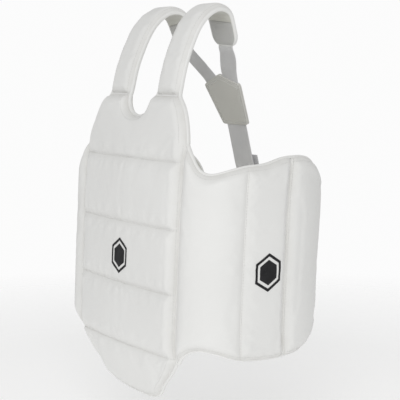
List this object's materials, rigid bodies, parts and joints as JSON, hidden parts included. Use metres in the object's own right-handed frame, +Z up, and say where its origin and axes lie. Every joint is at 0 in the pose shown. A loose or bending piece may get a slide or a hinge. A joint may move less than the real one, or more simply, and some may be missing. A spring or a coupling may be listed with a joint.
{
  "type": "chest protector",
  "caption": "White padded karate body protector with quilted front panel, wrap-round side wings, padded shoulder straps and an elastic Y-shaped back harness.",
  "frame": {"origin": "on the wearer's torso axis, half way up the side wings", "axes": "+Z up along the torso, -Y out of the wearer's chest, +X to the wearer's left"},
  "size_m": [0.3894, 0.2544, 0.5561],
  "materials": {
    "cover": "satin white leatherette",
    "lining": "brushed knit",
    "foam": "closed-cell foam",
    "webbing": "woven elastic",
    "fastener": "hook and loop",
    "mark": "heat-transfer film"
  },
  "bodies": {
    "front": {"chest_pad_cover": "cover", "upper_pad_cover": "cover", "middle_pad_cover": "cover", "lower_pad_cover": "cover", "abdomen_pad_cover": "cover", "chest_pad_foam": "foam", "upper_pad_foam": "foam", "middle_pad_foam": "foam", "lower_pad_foam": "foam", "abdomen_pad_foam": "foam", "front_lining": "lining", "front_mark": "mark", "left_shoulder_cover": "cover", "left_shoulder_foam": "foam", "left_shoulder_lining": "lining", "right_shoulder_cover": "cover", "right_shoulder_foam": "foam", "right_shoulder_lining": "lining"},
    "left_wing": {"left_front_pad_cover": "cover", "left_front_pad_foam": "foam", "left_middle_pad_cover": "cover", "left_middle_pad_foam": "foam", "left_wing_lining": "lining", "left_mark": "mark"},
    "left_rear": {"left_rear_pad_cover": "cover", "left_rear_pad_foam": "foam", "left_rear_lining": "lining", "left_loop_patch": "fastener"},
    "right_wing": {"right_front_pad_cover": "cover", "right_front_pad_foam": "foam", "right_middle_pad_cover": "cover", "right_middle_pad_foam": "foam", "right_wing_lining": "lining", "right_mark": "mark"},
    "right_rear": {"right_rear_pad_cover": "cover", "right_rear_pad_foam": "foam", "right_rear_lining": "lining", "right_loop_patch": "fastener"},
    "harness": {"left_webbing": "webbing", "right_webbing": "webbing", "yoke_outer": "cover", "yoke_inner": "cover", "back_strap": "webbing", "back_belt": "webbing", "left_hook_patch": "fastener", "right_hook_patch": "fastener"}
  },
  "joints": [
    {"name": "left_wing_hinge", "type": "hinge", "parent": "front", "child": "left_wing", "pos_m": [0.1241, -0.1146, 0], "axis": [0, -0.0549, -0.9985], "range_deg": [0, 57]},
    {"name": "left_rear_fold", "type": "hinge", "parent": "left_wing", "child": "left_rear", "pos_m": [0.17929, 0.02042, 0], "axis": [0, -0.0549, -0.9985], "range_deg": [0, 30]},
    {"name": "right_wing_hinge", "type": "hinge", "parent": "front", "child": "right_wing", "pos_m": [-0.1241, -0.1146, 0], "axis": [0, 0.0549, 0.9985], "range_deg": [0, 57]},
    {"name": "right_rear_fold", "type": "hinge", "parent": "right_wing", "child": "right_rear", "pos_m": [-0.17929, 0.02042, 0], "axis": [0, 0.0549, 0.9985], "range_deg": [0, 30]},
    {"name": "harness_swing", "type": "hinge", "parent": "front", "child": "harness", "pos_m": [0, 0.0165, 0.286], "axis": [1, 0, 0], "range_deg": [-20, 0]}
  ]
}
